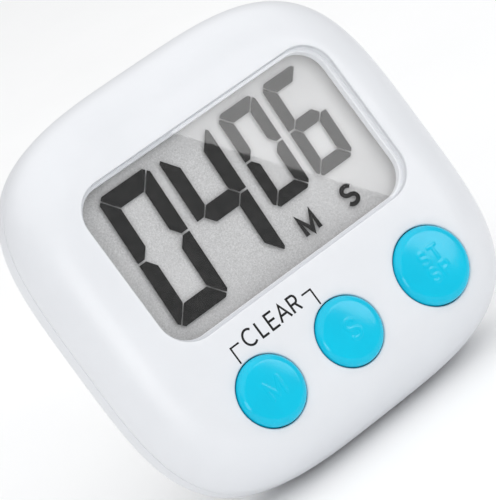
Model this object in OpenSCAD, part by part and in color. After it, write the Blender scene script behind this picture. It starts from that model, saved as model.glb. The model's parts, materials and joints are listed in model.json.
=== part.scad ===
// Digital kitchen countdown timer: square case with a wide display, three round
// buttons, a holding magnet and a fold-out stand at the back, powered by one AAA cell.
// Millimetres. Each module is drawn in the case's own frame: X across, Y from the
// front face to the back, Z up from the case's centre. posed() stands it on its stand.

/* [Case] */
// Width across the case
case_w = 65; // [50:0.5:90]
// Height of the case
case_h = 61.6; // [48:0.1:86]
// Thickness from front face to back face
case_t = 17; // [16:0.1:24]
// Radius of the four outer corners
corner_r = 18.5; // [12:0.5:22]
// Roll of the front edge
front_roll = 8.6; // [4:0.1:9]
// Roll of the back edge
rear_roll = 6; // [3:0.1:6]
// Wall thickness
wall = 1.8; // [1.2:0.1:2.4]
// Depth of the seam between the two half shells
split_y = 9; // [8:0.1:10.5]
// Open line left between the two half shells
seam = 0.12; // [0.05:0.01:0.3]

/* [Window and display] */
// Window width
window_w = 46.3; // [36:0.1:50]
// Window height
window_h = 26.2; // [20:0.1:28]
// Window corner radius
window_r = 5; // [3:0.1:8]
// Height of the window's centre above the case's centre
window_z = 6.35; // [4:0.05:9]
// How far the lens lies below the front face
lens_inset = 0.35; // [0.1:0.05:0.8]
// Lens thickness
lens_t = 1.2; // [0.8:0.1:1.5]
// Ledge under the lens
lens_ledge = 0.55; // [0.3:0.05:1]
// Depth of the display glass behind the front face
lcd_y = 2.9; // [2.5:0.1:3.2]
// Thickness of each display glass
glass_t = 0.4; // [0.4:0.05:0.7]
// Slant of the digits in degrees
digit_slant = 3.2; // [0:0.1:8]
// Height of the minute digits
big_digit_h = 21.4; // [14:0.1:24]
// Height of the second digits
small_digit_h = 15.7; // [10:0.1:18]

/* [Buttons] */
// Radius of the M and S buttons
small_button_r = 5.15; // [4:0.05:6]
// Radius of the start and stop button
start_button_r = 5.9; // [4.5:0.05:6.5]
// Height of the buttons' centres below the case's centre
button_drop = 18; // [15:0.1:20]
// Button travel
button_travel = 0.8; // [0.4:0.05:1.2]
// Gap round each button
button_gap = 0.14; // [0.08:0.01:0.3]
// Height of each button's rim above the front face
button_rim = 0.45; // [0.2:0.05:1]
// Height of each button's dome above its rim
button_dome = 0.6; // [0.3:0.05:1.2]

/* [Stand and magnet] */
// Height of the stand's hinge above the case's centre
hinge_z = 5.7; // [3:0.1:6]
// Depth of the hinge axis inside the back face
hinge_in = 1.5; // [1.4:0.05:2]
// Distance from hinge to foot
stand_len = 33; // [28:0.5:34]
// Stand width
stand_w = 25; // [20:0.5:26]
// Stand plate thickness
stand_t = 1.6; // [1.2:0.1:1.8]
// Opening angle of the stand at its stop
stand_open = 37; // [32:0.5:42]
// Radius of the hinge pin
pin_r = 0.8; // [0.5:0.05:0.9]
// Radial running clearance of the stand on its pin
pin_clear = 0.05; // [0.02:0.01:0.1]
// Magnet radius
magnet_r = 8.5; // [6:0.1:9]
// Magnet thickness
magnet_t = 2.3; // [1.5:0.1:2.6]

/* [Battery] */
// Cell diameter
cell_d = 10.5; // [10:0.1:10.5]
// Cell length over its button
cell_len = 44.5; // [43.5:0.1:44.5]
// Height of the cell above the case's centre
cell_z = 15; // [14:0.1:16]
// Battery door thickness
door_t = 0.9; // [0.8:0.05:1.2]
// Gap round the battery door
door_gap = 0.12; // [0.05:0.01:0.3]

/* [Hidden] */
$fn = 96;
eps = 0.01;
cut = 1;

// Centres of the four corners.
corner_x = case_w / 2 - corner_r;
corner_z = case_h / 2 - corner_r;
core_overlap = 1;

// Stepped inside of the two half shells.
front_wall = wall;
rear_inner_y = case_t - wall;
step_a_y = lcd_y;
step_b_y = 5;
step_c_y = 12.5;
thin_wall = 1.3;
function front_inset(y) = front_roll - sqrt(pow(front_roll, 2) - pow(front_roll - y, 2));
function rear_inset(y) = rear_roll - sqrt(pow(rear_roll, 2) - pow(y - case_t + rear_roll, 2));
inset_a = front_inset(front_wall) + wall;
inset_b = front_inset(step_a_y) + thin_wall;
inset_c = front_inset(step_b_y) + wall;
inset_d = wall;
inset_e = rear_inset(rear_inner_y) + thin_wall;

// Window, lens and display.
lens_gap = 0.12;
view_w = window_w - 2 * lens_ledge;
view_h = window_h - 2 * lens_ledge;
view_r = window_r - lens_ledge;
lcd_side = 2.1;
lcd_end = 2.45;
lcd_w = view_w + 2 * lcd_side;
lcd_h = view_h + 2 * lcd_end;
lcd_drop = 0.55;
lcd_z = window_z - lcd_drop;
contact_lip = 2.4;
cell_gap_t = 0.1;
reflector_t = 0.15;
rear_glass_y = lcd_y + glass_t + cell_gap_t;
reflector_y = rear_glass_y + glass_t;
lcd_back_y = reflector_y + reflector_t;
lcd_corner_r = 0.6;
frame_gap = 0.1;
frame_rim = 1.2;
frame_flange = 2.6;
frame_t = 0.45;
frame_r = 3;
frame_w = lcd_w + 2 * (frame_gap + frame_rim);
frame_h = lcd_h + 2 * (frame_gap + frame_rim);

// Segments of the digits.
seg_gap = 0.16;
seg_corner = 0.9;
big_digit_w = 9.3;
big_stroke_h = 2.8;
big_stroke_v = 2.4;
small_digit_w = 7;
small_stroke_h = 2.05;
small_stroke_v = 1.85;
digit_rise = 11.15;
digit_top = window_z + digit_rise;
big_digit_x = [-14.25, -3.15];
small_digit_x = [7.2, 15.75];
segments_zero = [1, 1, 1, 1, 1, 1, 0];
segments_four = [0, 1, 1, 0, 0, 1, 1];
segments_six = [1, 0, 1, 1, 1, 1, 1];

// Circuit board and what it carries.
board_y = 6;
board_t = 1;
board_w = 46;
board_top = 5.5;
board_bottom = -25.5;
board_low_r = 10;
board_high_r = 2;
board_back = board_y + board_t;
zebra_short = 4.7;
zebra_w = lcd_w - 2 * zebra_short;
zebra_t = 1.6;
chip_r = 4;
chip_h = 1.1;
crystal_r = 1;
crystal_len = 6;
capacitor_r = 2;
capacitor_h = 4.4;
chip_at = [-4, -8];
crystal_at = [-18, -4];
capacitor_at = [10, -12];

// Buttons and key pad.
button_z = -button_drop;
button_pitch = 15;
start_space = 5.65;
start_side = 22.2;
start_x = start_side - start_button_r;
button_s_x = start_x - start_button_r - start_space - small_button_r;
button_x = [button_s_x - button_pitch, button_s_x, start_x];
button_r = [small_button_r, small_button_r, start_button_r];
start_lift = 0.35;
button_heights = [button_z, button_z, button_z + start_lift];
flange_out = 0.6;
flange_t = 0.8;
flange_gap = 0.05;
flange_y = front_wall + flange_gap;
button_edge_r = 0.7;
pad_t = 0.8;
pad_w = 43;
pad_h = 12.6;
pad_r = 3;
pad_boss_r = 2.1;
pad_boss_h = 1;
pad_y = board_y - pad_t;
plunger_r = 1.5;
plunger_gap = 0.05;
plunger_end = pad_y - pad_boss_h - button_travel - plunger_gap;
post_x = [for (i = [0:1])
    (button_x[i] + button_r[i] + button_x[i + 1] - button_r[i + 1]) / 2];
post_drop = 3;
post_z = button_z - post_drop;
post_r = 1.9;
post_clear = 0.3;
post_floor = 0.65;

// Screws.
boss_angle = 39.5;
boss_in = 5.15;
boss_r = 2.3;
case_screw_x = corner_x + (corner_r - boss_in) * cos(boss_angle);
case_screw_z = -corner_z - (corner_r - boss_in) * sin(boss_angle);
thread_r = 0.9;
pilot_r = 0.95;
head_r = 1.8;
head_t = 1;
head_sink = 0.5;
head_clear = 0.3;
shank_clear = 0.15;
boss_clear = 0.15;
case_boss_front = flange_y + flange_t + button_travel + boss_clear;
boss_end_t = 1.4;
tip_clear = 0.2;
case_pilot_front = case_boss_front + boss_end_t;
screw_seat_y = case_t - wall + head_sink;
case_screw_len = screw_seat_y - case_pilot_front - tip_clear;
board_screw_len = board_back - front_wall - post_floor - tip_clear;
slot_w = 0.5;
slot_t = 0.5;
slot_share = 0.7;

// Stand, pin and magnet.
hinge_y = case_t - hinge_in;
pocket_in = 1.7;
pocket_y = hinge_y - pocket_in;
pocket_gap = 0.4;
pocket_w = stand_w + 2 * pocket_gap;
pocket_head = 2.2;
pocket_floor_t = 1.4;
knuckle_r = 1.4;
heel_in = 0.8;
heel_touch = 0.03;
heel_len = (hinge_y - pocket_y - heel_touch - heel_in * cos(stand_open)) / sin(stand_open);
foot_r = 1.2;
stand_corner = 4;
magnet_drop = 15.7;
magnet_z = hinge_z - magnet_drop;
magnet_wall = 0.5;
magnet_clear = 0.05;
boss_top_in = 0.8;
magnet_ring_gap = 0.5;
stand_hole_r = magnet_r + magnet_wall + magnet_ring_gap;
pin_end = 1.5;
pin_len = pocket_w + 2 * pin_end;
pin_seat_clear = 0.02;
rib_w = 1.3;

// Battery bay, contacts and door.
bay_gap = 0.2;
cell_r = cell_d / 2;
door_inner_y = case_t - door_t;
cell_door_gap = 0.1;
cell_y = door_inner_y - cell_door_gap - cell_r;
bay_w = 48.8;
bay_h = cell_d + 2 * bay_gap;
bay_floor_t = 0.5;
cell_floor_gap = 0.1;
bay_floor_y = cell_y - cell_r - cell_floor_gap;
bay_wall = 0.9;
door_ledge = 0.9;
door_w = bay_w + 2 * door_ledge;
door_h = bay_h + 2 * door_ledge;
door_r = 1.6;
contact_t = 0.4;
contact_w = 8;
contact_h = 7.5;
leaf_root = 1.2;
nub_r = 1.9;
nub_len = 1;
cell_edge_r = 0.5;
cell_end_gap = 0.05;
cell_left = -bay_w / 2 + contact_t + cell_end_gap;
cell_right = cell_left + cell_len;
door_rib_t = 0.7;
door_rib_depth = 1.3;
door_rib_len = 30;
door_rib_gap = 0.1;
grip_count = 4;
grip_pitch = 1.5;
grip_depth = 0.3;
grip_w = 0.6;
grip_len = 7;
grip_x = 18;

// Buzzer and its sound slots.
buzzer_z = -8.8;
buzzer_r = 6.8;
ceramic_r = 4.8;
disc_t = 0.25;
buzzer_ring_t = 0.8;
buzzer_ring_h = 1.2;
buzzer_y = rear_inner_y - disc_t;
buzzer_clear = 0.1;
buzzer_x = pocket_w / 2 + rib_w + buzzer_r + buzzer_clear + buzzer_ring_t;
sound_count = 5;
sound_pitch = 2;
sound_w = 0.9;
sound_len = [4.5, 7, 8, 7, 4.5];
contact_pin_r = 0.5;

// Lip that lines up the two half shells.
lip_t = 0.9;
lip_h = 1.2;
lip_gap = 0.1;

// Lean of the case when its back edge and the stand's foot rest on one plane.
foot_up = case_h / 2 + hinge_z - stand_len * cos(stand_open);
foot_back = hinge_y + stand_len * sin(stand_open);
lean_up = rear_roll - foot_up;
lean_back = foot_back - (case_t - rear_roll);
lean_dir = atan2(lean_back, lean_up);
lean = lean_dir - acos((rear_roll - foot_r) / norm([lean_up, lean_back]));
base_low = rear_roll * cos(lean) - (case_t - rear_roll) * sin(lean) - rear_roll;
reach_front = front_roll * (cos(lean) + sin(lean)) - front_roll;
reach_top = (case_t - rear_roll) * cos(lean) + (case_h - rear_roll) * sin(lean) + rear_roll;
reach_foot = foot_back * cos(lean) + foot_up * sin(lean) + foot_r;
reach_mid = (reach_front + max(reach_top, reach_foot)) / 2;

// Stands the case on its back edge and the stand's foot.
module posed() {
    translate([0, -reach_mid, -base_low])
        rotate([-lean, 0, 0])
            translate([0, 0, case_h / 2])
                children();
}

// Extrudes a flat shape drawn in X and Z from depth y0 to depth y1.
module through(y0, y1) {
    translate([0, y1, 0])
        rotate([90, 0, 0])
            linear_extrude(y1 - y0)
                children();
}

// Revolves a shape drawn as radius and depth about the line at x, z.
module turned(x, z) {
    translate([x, 0, z])
        rotate([-90, 0, 0])
            rotate_extrude()
                children();
}

module rounded_rect(w, h, r) {
    square([w - 2 * r, h], center = true);
    square([w, h - 2 * r], center = true);
    for (sx = [-1, 1], sy = [-1, 1])
        translate([sx * (w / 2 - r), sy * (h / 2 - r)])
            circle(r);
}

// Quarter of a disc in the quadrant sx, sy.
module quarter_disc(r, sx, sy) {
    intersection() {
        circle(r);
        translate([sx > 0 ? 0 : -r - cut, sy > 0 ? 0 : -r - cut])
            square(r + cut);
    }
}

// Cross-section of the case's edge from radius r_in to r_out, back at 0.
module edge_profile(r_in, r_out) {
    translate([r_in, case_t - front_roll])
        square([r_out - front_roll - r_in, front_roll]);
    translate([r_out - front_roll, case_t - front_roll])
        quarter_disc(front_roll, 1, 1);
    translate([r_in, rear_roll])
        square([r_out - r_in, case_t - front_roll - rear_roll]);
    translate([r_in, 0])
        square([r_out - rear_roll - r_in, rear_roll]);
    translate([r_out - rear_roll, rear_roll])
        quarter_disc(rear_roll, 1, -1);
}

// Quarter of the case's edge turned round the corner in direction start.
module corner_edge(x, z, start) {
    translate([x, case_t, z])
        rotate([90, 0, 0])
            rotate([0, 0, start])
                rotate_extrude(angle = 90)
                    edge_profile(0, corner_r);
}

// Straight length of the case's edge, reach from the middle, turned to face turn.
module side_edge(reach, len, turn) {
    rotate([0, -turn, 0])
        translate([reach, case_t, 0])
            rotate([180, 0, 0])
                linear_extrude(len, center = true)
                    edge_profile(-core_overlap, corner_r);
}

module case_form() {
    through(0, case_t)
        square([2 * corner_x, 2 * corner_z], center = true);
    corner_edge(corner_x, corner_z, 0);
    corner_edge(-corner_x, corner_z, 90);
    corner_edge(-corner_x, -corner_z, 180);
    corner_edge(corner_x, -corner_z, 270);
    side_edge(corner_x, 2 * corner_z, 0);
    side_edge(corner_z, 2 * corner_x, 90);
    side_edge(corner_x, 2 * corner_z, 180);
    side_edge(corner_z, 2 * corner_x, 270);
}

// Inside space between depths y0 and y1, inset from the case's outline.
module hollow(y0, y1, inset) {
    through(y0, y1)
        outline(inset);
}

module slab(y0, y1) {
    through(y0, y1)
        square([case_w + 2 * cut, case_h + 2 * cut], center = true);
}

module at_buttons() {
    for (i = [0:2])
        translate([button_x[i], button_heights[i]])
            children();
}

module front_shell() {
    color("white")
    posed()
    difference() {
        union() {
            difference() {
                intersection() {
                    case_form();
                    slab(-cut, split_y);
                }
                hollow(front_wall, step_a_y, inset_a);
                hollow(step_a_y - eps, step_b_y, inset_b);
                hollow(step_b_y - eps, split_y + cut, inset_c);
            }
            // Well that carries the display and its frame behind the window.
            through(front_wall - eps, lcd_y)
                translate([0, lcd_z])
                    rounded_rect(frame_w, frame_h, frame_r);
            // Bosses for the case screws.
            for (sx = [-1, 1])
                translate([sx * case_screw_x, 0, case_screw_z])
                    through(case_boss_front, split_y - head_sink)
                        circle(boss_r);
            // Posts for the circuit board.
            for (x = post_x)
                through(front_wall - eps, board_y)
                    translate([x, post_z])
                        circle(post_r);
        }
        through(-cut, lens_inset + lens_t)
            translate([0, window_z])
                rounded_rect(window_w, window_h, window_r);
        through(-cut, lcd_y + cut)
            translate([0, window_z])
                rounded_rect(view_w, view_h, view_r);
        for (i = [0:2])
            through(-cut, front_wall + cut)
                translate([button_x[i], button_heights[i]])
                    circle(button_r[i] + button_gap);
        for (sx = [-1, 1])
            through(case_pilot_front, split_y + cut)
                translate([sx * case_screw_x, case_screw_z])
                    circle(pilot_r);
        for (x = post_x)
            through(front_wall + post_floor, board_y + cut)
                translate([x, post_z])
                    circle(pilot_r);
    }
}

// Flat shape of the case's outline, inset by d.
module outline(d) {
    rounded_rect(case_w - 2 * d, case_h - 2 * d, corner_r - d);
}

module lip_ring() {
    lip_out = inset_c + lip_gap;
    // Root that joins the lip to the rear shell's wall.
    through(split_y + seam, split_y + seam + lip_h)
        difference() {
            outline(inset_d - eps);
            outline(lip_out + lip_t);
        }
    through(split_y - lip_h, split_y + seam + eps)
        difference() {
            outline(lip_out);
            outline(lip_out + lip_t);
            // Room for the front shell's bosses.
            for (sx = [-1, 1])
                translate([sx * case_screw_x, case_screw_z])
                    circle(boss_r + lip_gap);
        }
}

// Space in the back that the folded stand lies in, open at the bottom.
module stand_pocket() {
    pocket_h = case_h / 2 + hinge_z + pocket_head;
    through(pocket_y, case_t + cut)
        translate([0, hinge_z + pocket_head - pocket_h / 2])
            square([pocket_w, pocket_h + eps], center = true);
}

module rear_shell() {
    pocket_bottom = -case_h / 2 + inset_d;
    pocket_wall_h = hinge_z + pocket_head + rib_w - pocket_bottom;
    color("white")
    posed()
    difference() {
        union() {
            difference() {
                intersection() {
                    case_form();
                    slab(split_y + seam, case_t + cut);
                }
                hollow(split_y - cut, step_c_y, inset_d);
                hollow(step_c_y - eps, rear_inner_y, inset_e);
            }
            lip_ring();
            // Walls and floor round the stand's pocket.
            through(pocket_y - pocket_floor_t, rear_inner_y + eps)
                translate([0, pocket_bottom + pocket_wall_h / 2])
                    square([pocket_w + 2 * rib_w, pocket_wall_h], center = true);
            // Tub that holds the cell.
            through(bay_floor_y - bay_floor_t, rear_inner_y + eps)
                translate([0, cell_z])
                    rounded_rect(bay_w + 2 * bay_wall, bay_h + 2 * bay_wall, bay_wall);
            // Columns that the case screws pass through.
            for (sx = [-1, 1])
                through(split_y + seam, rear_inner_y + eps)
                    translate([sx * case_screw_x, case_screw_z])
                        circle(boss_r);
            // Ring that centres the buzzer.
            through(rear_inner_y - buzzer_ring_h, rear_inner_y + eps)
                translate([buzzer_x, buzzer_z])
                    difference() {
                        circle(buzzer_r + buzzer_clear + buzzer_ring_t);
                        circle(buzzer_r + buzzer_clear);
                    }
        }
        difference() {
            stand_pocket();
            through(pocket_y - eps, case_t - magnet_t)
                translate([0, magnet_z])
                    circle(magnet_r + magnet_wall);
            through(pocket_y - eps, case_t - boss_top_in)
                translate([0, magnet_z])
                    difference() {
                        circle(magnet_r + magnet_wall);
                        circle(magnet_r + magnet_clear);
                    }
        }
        translate([-pin_len / 2 - cut / 2, hinge_y, hinge_z])
            rotate([0, 90, 0])
                cylinder(r = pin_r + pin_seat_clear, h = pin_len + cut);
        through(bay_floor_y, case_t + cut)
            translate([0, cell_z])
                square([bay_w, bay_h], center = true);
        through(door_inner_y, case_t + cut)
            translate([0, cell_z])
                rounded_rect(door_w, door_h, door_r);
        for (sx = [-1, 1])
            translate([sx * case_screw_x, 0, case_screw_z]) {
                through(split_y, case_t + cut)
                    circle(thread_r + shank_clear);
                through(screw_seat_y, case_t + cut)
                    circle(head_r + head_clear);
            }
        for (i = [0:sound_count - 1])
            through(rear_inner_y - eps, case_t + cut)
                translate([buzzer_x, buzzer_z + (i - (sound_count - 1) / 2) * sound_pitch])
                    rounded_rect(sound_len[i], sound_w, sound_w / 2 - eps);
    }
}

module window_lens() {
    color("lightblue", 0.35)
    posed()
    through(lens_inset, lens_inset + lens_t)
        translate([0, window_z])
            rounded_rect(window_w - 2 * lens_gap, window_h - 2 * lens_gap, window_r - lens_gap);
}

module lcd_front_glass() {
    color("lightgray", 0.35)
    posed()
    through(lcd_y, lcd_y + glass_t)
        translate([0, lcd_z])
            rounded_rect(lcd_w, lcd_h, lcd_corner_r);
}

module behind_lip() {
    translate([0, lcd_z + contact_lip / 2])
        rounded_rect(lcd_w, lcd_h - contact_lip, lcd_corner_r);
}

module lcd_rear_glass() {
    color("lightgray", 0.35)
    posed()
    through(rear_glass_y, reflector_y)
        behind_lip();
}

module lcd_reflector() {
    color("silver")
    posed()
    through(reflector_y, lcd_back_y)
        behind_lip();
}

// Flat shape of one segment of a digit w wide and h high, strokes sv and sh.
module segment(index, w, h, sv, sh) {
    mid = h / 2;
    half = sh / 2;
    g = seg_gap;
    top = [[g, h], [w - g, h], [w - sv - g, h - sh], [sv + g, h - sh]];
    right_up = [[w, h - g], [w, mid + g], [w - sv / 2, mid + g],
                [w - sv, mid + half + g], [w - sv, h - sh - g]];
    middle = [[sv + g, mid + half], [w - sv - g, mid + half], [w - sv / 2 - g, mid],
              [w - sv - g, mid - half], [sv + g, mid - half], [sv / 2 + g, mid]];
    if (index == 0) polygon(top);
    if (index == 1) polygon(right_up);
    if (index == 2) translate([0, h]) mirror([0, 1]) polygon(right_up);
    if (index == 3) translate([0, h]) mirror([0, 1]) polygon(top);
    if (index == 4) translate([w, h]) rotate(180) polygon(right_up);
    if (index == 5) translate([w, 0]) mirror([1, 0]) polygon(right_up);
    if (index == 6) polygon(middle);
}

// Segments that are lit for one digit, slanted to the right.
module digit(lit, w, h, sv, sh) {
    slant = tan(digit_slant);
    multmatrix([[1, slant, 0, -w / 2 - slant * h / 2], [0, 1, 0, -h / 2], [0, 0, 1, 0]])
        intersection() {
            union()
                for (i = [0:6])
                    if (lit[i] == 1)
                        segment(i, w, h, sv, sh);
            translate([w / 2, h / 2])
                polygon([[-w / 2 + seg_corner, -h / 2], [w / 2 - seg_corner, -h / 2],
                         [w / 2, -h / 2 + seg_corner], [w / 2, h / 2 - seg_corner],
                         [w / 2 - seg_corner, h / 2], [-w / 2 + seg_corner, h / 2],
                         [-w / 2, h / 2 - seg_corner], [-w / 2, -h / 2 + seg_corner]]);
        }
}

module lcd_segments() {
    big_z = digit_top - big_digit_h / 2;
    small_z = digit_top - small_digit_h / 2;
    color("black")
    posed()
    through(lcd_y + glass_t, rear_glass_y) {
        translate([big_digit_x[0], big_z])
            digit(segments_zero, big_digit_w, big_digit_h, big_stroke_v, big_stroke_h);
        translate([big_digit_x[1], big_z])
            digit(segments_four, big_digit_w, big_digit_h, big_stroke_v, big_stroke_h);
        translate([small_digit_x[0], small_z])
            digit(segments_zero, small_digit_w, small_digit_h, small_stroke_v, small_stroke_h);
        translate([small_digit_x[1], small_z])
            digit(segments_six, small_digit_w, small_digit_h, small_stroke_v, small_stroke_h);
    }
}

module lcd_frame() {
    inner_w = lcd_w + 2 * frame_gap;
    inner_h = lcd_h + 2 * frame_gap;
    color("white")
    posed()
    translate([0, 0, lcd_z])
    difference() {
        through(lcd_y, lcd_back_y + frame_t)
            rounded_rect(frame_w, frame_h, frame_r);
        through(lcd_y - cut, lcd_back_y)
            square([inner_w, inner_h], center = true);
        through(lcd_back_y - eps, lcd_back_y + frame_t + cut)
            square([inner_w - 2 * frame_flange, inner_h - 2 * frame_flange], center = true);
        // Slot that the zebra strip passes through.
        through(lcd_y - cut, lcd_back_y + frame_t + cut)
            translate([0, -lcd_h / 2 + contact_lip / 2])
                square([zebra_w + 2 * frame_gap, zebra_t + 2 * frame_gap], center = true);
    }
}

module zebra_strip() {
    color("pink")
    posed()
    through(lcd_y + glass_t, board_y)
        translate([0, lcd_z - lcd_h / 2 + contact_lip / 2])
            square([zebra_w, zebra_t], center = true);
}

module board_outline() {
    board_mid = (board_top + board_bottom) / 2;
    square_h = board_top - board_bottom - board_low_r;
    translate([0, board_mid])
        rounded_rect(board_w, board_top - board_bottom, board_low_r);
    translate([0, board_top - square_h / 2])
        rounded_rect(board_w, square_h, board_high_r);
}

module circuit_board() {
    color("green")
    posed()
    difference() {
        through(board_y, board_back)
            board_outline();
        for (x = post_x)
            through(board_y - cut, board_back + cut)
                translate([x, post_z])
                    circle(thread_r + shank_clear);
    }
}

module chip_blob() {
    dome_r = (chip_r * chip_r + chip_h * chip_h) / (2 * chip_h);
    color("black")
    posed()
    turned(chip_at[0], chip_at[1])
        intersection() {
            translate([0, board_back + chip_h - dome_r])
                circle(dome_r);
            translate([0, board_back])
                square([chip_r + cut, chip_h + cut]);
        }
}

module crystal() {
    color("silver")
    posed()
    translate([crystal_at[0], board_back + crystal_r, crystal_at[1]])
        rotate([0, 90, 0])
            cylinder(r = crystal_r, h = crystal_len);
}

module capacitor() {
    color("navy")
    posed()
    through(board_back, board_back + capacitor_h)
        translate(capacitor_at)
            circle(capacitor_r);
}

module key_pad() {
    color("dimgray")
    posed()
    difference() {
        union() {
            through(pad_y, board_y)
                translate([(button_x[0] + button_x[2]) / 2, button_z])
                    rounded_rect(pad_w, pad_h, pad_r);
            through(pad_y - pad_boss_h, pad_y + eps)
                at_buttons()
                    circle(pad_boss_r);
        }
        for (x = post_x)
            through(pad_y - cut, board_y + cut)
                translate([x, post_z])
                    circle(post_r + post_clear);
    }
}

// One push button, its front towards depth zero.
module button(index) {
    r = button_r[index];
    dome_r = (r * r + button_dome * button_dome) / (2 * button_dome);
    color("deepskyblue")
    posed()
    turned(button_x[index], button_heights[index]) {
        intersection() {
            union() {
                translate([0, -button_rim - button_dome])
                    square([r - button_edge_r, button_rim + button_dome + flange_y]);
                translate([0, -button_rim + button_edge_r - button_dome / 2])
                    square([r, button_rim + button_dome / 2 + flange_y - button_edge_r + eps]);
                translate([r - button_edge_r, -button_rim + button_edge_r - button_dome / 2])
                    quarter_disc(button_edge_r, 1, -1);
            }
            translate([0, dome_r - button_rim - button_dome])
                circle(dome_r);
            translate([0, -button_rim - button_dome - cut])
                square([r + cut, button_rim + button_dome + flange_y + 2 * cut]);
        }
        translate([0, flange_y])
            square([r + flange_out, flange_t]);
        translate([0, flange_y + flange_t - eps])
            square([plunger_r, plunger_end - flange_y - flange_t + eps]);
    }
}

module button_m() {
    button(0);
}

module button_s() {
    button(1);
}

module button_start() {
    button(2);
}

// Pan-head screw along Y with its head towards the back at depth y.
module screw(x, z, y, len) {
    difference() {
        turned(x, z) {
            translate([0, y - head_t])
                square([head_r, head_t]);
            translate([0, y - head_t - len])
                square([thread_r, len + eps]);
        }
        for (a = [0, 90])
            translate([x, y + eps, z])
                rotate([0, a, 0])
                    translate([0, -slot_t / 2, 0])
                        cube([2 * head_r * slot_share, slot_t + eps, slot_w], center = true);
    }
}

module board_screws() {
    color("silver")
    posed()
    for (x = post_x)
        screw(x, post_z, board_back + head_t, board_screw_len);
}

module case_screws() {
    color("silver")
    posed()
    for (sx = [-1, 1])
        screw(sx * case_screw_x, case_screw_z, screw_seat_y + head_t, case_screw_len);
}

module buzzer_disc() {
    color("gold")
    posed()
    through(buzzer_y, rear_inner_y)
        translate([buzzer_x, buzzer_z])
            circle(buzzer_r);
}

module buzzer_ceramic() {
    color("ivory")
    posed()
    through(buzzer_y - disc_t, buzzer_y)
        translate([buzzer_x, buzzer_z])
            circle(ceramic_r);
}

module buzzer_contacts() {
    inner_x = buzzer_x - ceramic_r / 2;
    outer_x = buzzer_x - (buzzer_r + ceramic_r) / 2;
    color("silver")
    posed() {
        through(board_back, buzzer_y - disc_t)
            translate([inner_x, buzzer_z])
                circle(contact_pin_r);
        through(board_back, buzzer_y)
            translate([outer_x, buzzer_z])
                circle(contact_pin_r);
    }
}

module battery_cell() {
    color("dimgray")
    posed()
    translate([cell_left, cell_y, cell_z])
        rotate([0, 90, 0])
            rotate_extrude() {
                translate([0, nub_len])
                    square([cell_r - cell_edge_r, cell_len - nub_len]);
                translate([0, nub_len + cell_edge_r])
                    square([cell_r, cell_len - nub_len - 2 * cell_edge_r]);
                translate([cell_r - cell_edge_r, nub_len + cell_edge_r])
                    circle(cell_edge_r);
                translate([cell_r - cell_edge_r, cell_len - cell_edge_r])
                    circle(cell_edge_r);
                square([nub_r, nub_len + eps]);
            }
}

module battery_plate() {
    color("silver")
    posed()
    translate([-bay_w / 2 + contact_t / 2, cell_y, cell_z])
        cube([contact_t, contact_w, contact_h], center = true);
}

// Bent leaf that presses the cell against the plate.
module battery_leaf() {
    wall_x = bay_w / 2;
    half = contact_w / 2;
    t = contact_t;
    color("silver")
    posed()
    translate([0, cell_y, cell_z - contact_h / 2])
        linear_extrude(contact_h)
            polygon([[wall_x, half], [wall_x, -half], [wall_x - t, -half],
                     [wall_x - t, half - leaf_root], [cell_right + t, -t], [cell_right, -t],
                     [cell_right, 0], [wall_x - t, half]]);
}

module battery_door() {
    rib_z = bay_h / 2 - door_rib_gap - door_rib_t / 2;
    color("white")
    posed()
    difference() {
        union() {
            intersection() {
                case_form();
                through(door_inner_y, case_t + cut)
                    translate([0, cell_z])
                        rounded_rect(door_w - 2 * door_gap, door_h - 2 * door_gap, door_r - door_gap);
            }
            for (sz = [-1, 1])
                through(door_inner_y - door_rib_depth, door_inner_y + eps)
                    translate([0, cell_z + sz * rib_z])
                        square([door_rib_len, door_rib_t], center = true);
        }
        for (i = [0:grip_count - 1])
            through(case_t - grip_depth, case_t + cut)
                translate([grip_x - i * grip_pitch, cell_z])
                    square([grip_w, grip_len], center = true);
    }
}

module magnet() {
    color("dimgray")
    posed()
    through(case_t - magnet_t, case_t)
        translate([0, magnet_z])
            circle(magnet_r);
}

// Outline of the stand's plate in X and Z, hinge at the origin.
module stand_outline() {
    translate([0, -stand_len / 2])
        square([stand_w, stand_len - 2 * stand_corner], center = true);
    square_h = stand_corner + heel_len;
    translate([0, heel_len - square_h / 2])
        square([stand_w, square_h + eps], center = true);
    translate([0, -stand_len + stand_corner / 2])
        square([stand_w - 2 * stand_corner, stand_corner + eps], center = true);
    for (sx = [-1, 1])
        translate([sx * (stand_w / 2 - stand_corner), -stand_len + stand_corner])
            circle(stand_corner);
}

module stand() {
    plate_in = -heel_in;
    color("white")
    posed()
    translate([0, hinge_y, hinge_z])
        rotate([stand_open, 0, 0])
            difference() {
                union() {
                    through(plate_in, plate_in + stand_t)
                        stand_outline();
                    rotate([0, 90, 0])
                        cylinder(r = knuckle_r, h = stand_w, center = true);
                    translate([0, 0, -stand_len])
                        rotate([0, 90, 0])
                            cylinder(r = foot_r, h = stand_w - 2 * stand_corner, center = true);
                }
                rotate([0, 90, 0])
                    cylinder(r = pin_r + pin_clear, h = stand_w + cut, center = true);
                through(-2 * stand_t, 2 * stand_t)
                    translate([0, -magnet_drop])
                        circle(stand_hole_r);
            }
}

module stand_pin() {
    color("silver")
    posed()
    translate([0, hinge_y, hinge_z])
        rotate([0, 90, 0])
            cylinder(r = pin_r, h = pin_len, center = true);
}

front_shell();
rear_shell();
window_lens();
lcd_front_glass();
lcd_segments();
lcd_rear_glass();
lcd_reflector();
lcd_frame();
zebra_strip();
circuit_board();
chip_blob();
crystal();
capacitor();
key_pad();
button_m();
button_s();
button_start();
board_screws();
buzzer_disc();
buzzer_ceramic();
buzzer_contacts();
battery_cell();
battery_plate();
battery_leaf();
battery_door();
magnet();
stand();
stand_pin();
case_screws();
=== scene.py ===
import json
import math

import bmesh
import bpy
import numpy as np
from mathutils import Matrix, Vector
from mathutils.geometry import delaunay_2d_cdt


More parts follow.
